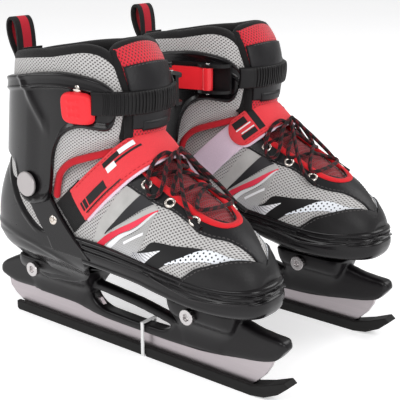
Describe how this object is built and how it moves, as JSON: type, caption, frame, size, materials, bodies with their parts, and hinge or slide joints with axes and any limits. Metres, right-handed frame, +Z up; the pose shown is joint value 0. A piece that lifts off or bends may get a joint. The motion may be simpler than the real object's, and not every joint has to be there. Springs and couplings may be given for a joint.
{
  "type": "ice skates",
  "caption": "Pair of adjustable soft-boot ice skates with a hinged cuff, ratchet buckle, instep strap, laces, steel blade in a plastic holder and a blade guard.",
  "frame": {"origin": "on the floor, midway between the two blades and at half the overall length", "axes": "+X towards the toes, +Z up, +Y from the left-foot skate to the right-foot skate; the pair is mirrored across the XZ plane, with the buckles facing each other"},
  "size_m": [0.313, 0.2468, 0.26],
  "materials": {
    "blade_steel": "fine brushed, ground edge",
    "fastener_steel": "bright plated",
    "rivet_cap": "satin",
    "frame_plastic": "fine moulded texture",
    "shell_plastic": "semi-gloss moulded",
    "strap_plastic": "moulded",
    "guard_rubber": "matte",
    "red_plastic": "semi-gloss moulded",
    "white_tie": "translucent white",
    "grey_mesh": "open mesh over grey backing",
    "black_lining": "brushed lining",
    "black_leather": "smooth coated",
    "red_webbing": "woven",
    "lilac_webbing": "napped loop tape",
    "black_webbing": "woven",
    "lace_cord": "braided"
  },
  "bodies": {
    "root": {"left_blade": "blade_steel", "left_blade_holder": "frame_plastic", "left_blade_guard": "guard_rubber", "left_cable_tie": "white_tie", "left_front_bolt": "fastener_steel", "left_front_nut": "fastener_steel", "left_rear_bolt": "fastener_steel", "left_rear_nut": "fastener_steel", "left_base_shell": "shell_plastic", "left_boot_lower": "grey_mesh", "left_footbed": "black_lining", "left_cuff_rivet_inner": "rivet_cap", "left_cuff_rivet_outer": "rivet_cap", "left_strap_web": "black_webbing", "right_blade": "blade_steel", "right_blade_holder": "frame_plastic", "right_blade_guard": "guard_rubber", "right_cable_tie": "white_tie", "right_front_bolt": "fastener_steel", "right_front_nut": "fastener_steel", "right_rear_bolt": "fastener_steel", "right_rear_nut": "fastener_steel", "right_base_shell": "shell_plastic", "right_boot_lower": "grey_mesh", "right_footbed": "black_lining", "right_cuff_rivet_inner": "rivet_cap", "right_cuff_rivet_outer": "rivet_cap", "right_strap_web": "black_webbing"},
    "left_front": {"left_front_sole": "shell_plastic", "left_vamp": "grey_mesh", "left_tongue_lower": "black_leather", "left_power_strap": "red_webbing", "left_strap_receiver": "lilac_webbing", "left_laces": "lace_cord"},
    "left_cuff": {"left_cuff": "shell_plastic", "left_collar": "grey_mesh", "left_tongue_top": "black_leather", "left_ladder_strap": "strap_plastic", "left_strap_anchor": "red_plastic", "left_buckle_base": "strap_plastic", "left_buckle_pin": "fastener_steel", "left_pull_loop": "red_webbing"},
    "left_lever": {"left_buckle_lever": "red_plastic"},
    "right_front": {"right_front_sole": "shell_plastic", "right_vamp": "grey_mesh", "right_tongue_lower": "black_leather", "right_power_strap": "red_webbing", "right_strap_receiver": "lilac_webbing", "right_laces": "lace_cord"},
    "right_cuff": {"right_cuff": "shell_plastic", "right_collar": "grey_mesh", "right_tongue_top": "black_leather", "right_ladder_strap": "strap_plastic", "right_strap_anchor": "red_plastic", "right_buckle_base": "strap_plastic", "right_buckle_pin": "fastener_steel", "right_pull_loop": "red_webbing"},
    "right_lever": {"right_buckle_lever": "red_plastic"}
  },
  "joints": [
    {"name": "left_size_slide", "type": "slide", "parent": "root", "child": "left_front", "axis": [1, 0, 0], "range_m": [0, 0.018]},
    {"name": "left_cuff_flex", "type": "hinge", "parent": "root", "child": "left_cuff", "pos_m": [-0.0685, -0.074, 0.136], "axis": [0, 1, 0], "range_deg": [-6, 4], "stiffness_Nm_per_rad": 25},
    {"name": "left_lever_pivot", "type": "hinge", "parent": "left_cuff", "child": "left_lever", "pos_m": [0.00045, -0.02335, 0.208], "axis": [0, 0, -1], "range_deg": [0, 18], "stiffness_Nm_per_rad": 0.05},
    {"name": "right_size_slide", "type": "slide", "parent": "root", "child": "right_front", "axis": [1, 0, 0], "range_m": [0, 0.018]},
    {"name": "right_cuff_flex", "type": "hinge", "parent": "root", "child": "right_cuff", "pos_m": [-0.0685, 0.074, 0.136], "axis": [0, 1, 0], "range_deg": [-6, 4], "stiffness_Nm_per_rad": 25},
    {"name": "right_lever_pivot", "type": "hinge", "parent": "right_cuff", "child": "right_lever", "pos_m": [0.00045, 0.02335, 0.208], "axis": [0, 0, 1], "range_deg": [0, 18], "stiffness_Nm_per_rad": 0.05}
  ]
}
